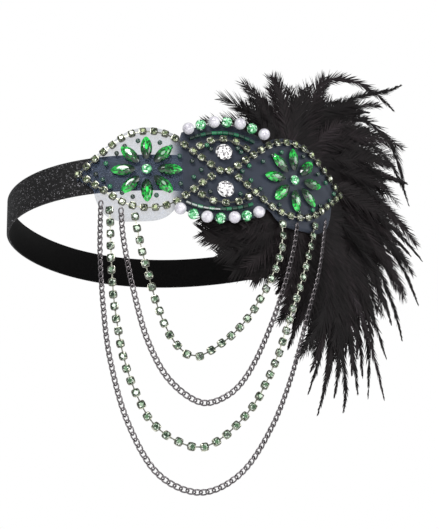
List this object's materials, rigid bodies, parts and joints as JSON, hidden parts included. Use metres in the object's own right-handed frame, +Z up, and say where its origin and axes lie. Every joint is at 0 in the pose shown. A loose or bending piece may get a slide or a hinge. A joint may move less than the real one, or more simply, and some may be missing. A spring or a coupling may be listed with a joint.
{
  "type": "flapper feather headband",
  "caption": "Elastic headband with a beaded two-lens net ornament, a black feather plume and hanging swags of cup-set stones and curb chain.",
  "frame": {"origin": "centre of the head opening at the band's mid height", "axes": "+Z up along the opening's axis, -Y towards the ornament's middle, +X towards the feathers"},
  "size_m": [0.2209, 0.1851, 0.2318],
  "materials": {
    "glitter_elastic": "black elastic band with silver glitter outside and plain velvet inside",
    "organza_net": "smoky blue-grey beading net",
    "black_feather": "soft black rooster feathers",
    "cup_chain": "olive and clear cut stones in gunmetal cups",
    "curb_chain": "silver curb chain",
    "emerald_glass": "emerald green cut glass with a dark foil back",
    "pale_green_glass": "pale green cut glass",
    "clear_glass": "clear foil-backed crystal",
    "pearl": "lavender-white imitation pearl"
  },
  "bodies": {
    "root": {"band": "glitter_elastic", "feather_plume": "black_feather", "inner_curb_swag": "curb_chain", "inner_stone_swag": "cup_chain", "left_flower_centre": "pale_green_glass", "left_lens_rim": "cup_chain", "left_petal_1": "emerald_glass", "left_petal_2": "emerald_glass", "left_petal_3": "emerald_glass", "left_petal_4": "emerald_glass", "left_petal_5": "emerald_glass", "left_petal_6": "emerald_glass", "left_petal_7": "emerald_glass", "left_petal_8": "emerald_glass", "lower_eye_arc": "cup_chain", "lower_eye_crystal": "clear_glass", "lower_green_bead_1": "pale_green_glass", "lower_green_bead_2": "pale_green_glass", "lower_green_bead_3": "pale_green_glass", "lower_pearl_1": "pearl", "lower_pearl_2": "pearl", "lower_pearl_3": "pearl", "lower_pearl_4": "pearl", "net_backing": "organza_net", "outer_curb_swag": "curb_chain", "outer_stone_swag": "cup_chain", "right_flower_centre": "pale_green_glass", "right_lens_rim": "cup_chain", "right_petal_1": "emerald_glass", "right_petal_2": "emerald_glass", "right_petal_3": "emerald_glass", "right_petal_4": "emerald_glass", "right_petal_5": "emerald_glass", "right_petal_6": "emerald_glass", "right_petal_7": "emerald_glass", "right_petal_8": "emerald_glass", "upper_eye_arc": "cup_chain", "upper_eye_crystal": "clear_glass", "upper_green_bead_1": "pale_green_glass", "upper_green_bead_2": "pale_green_glass", "upper_green_bead_3": "pale_green_glass", "upper_pearl_1": "pearl", "upper_pearl_2": "pearl", "upper_pearl_3": "pearl", "upper_pearl_4": "pearl"}
  },
  "joints": []
}
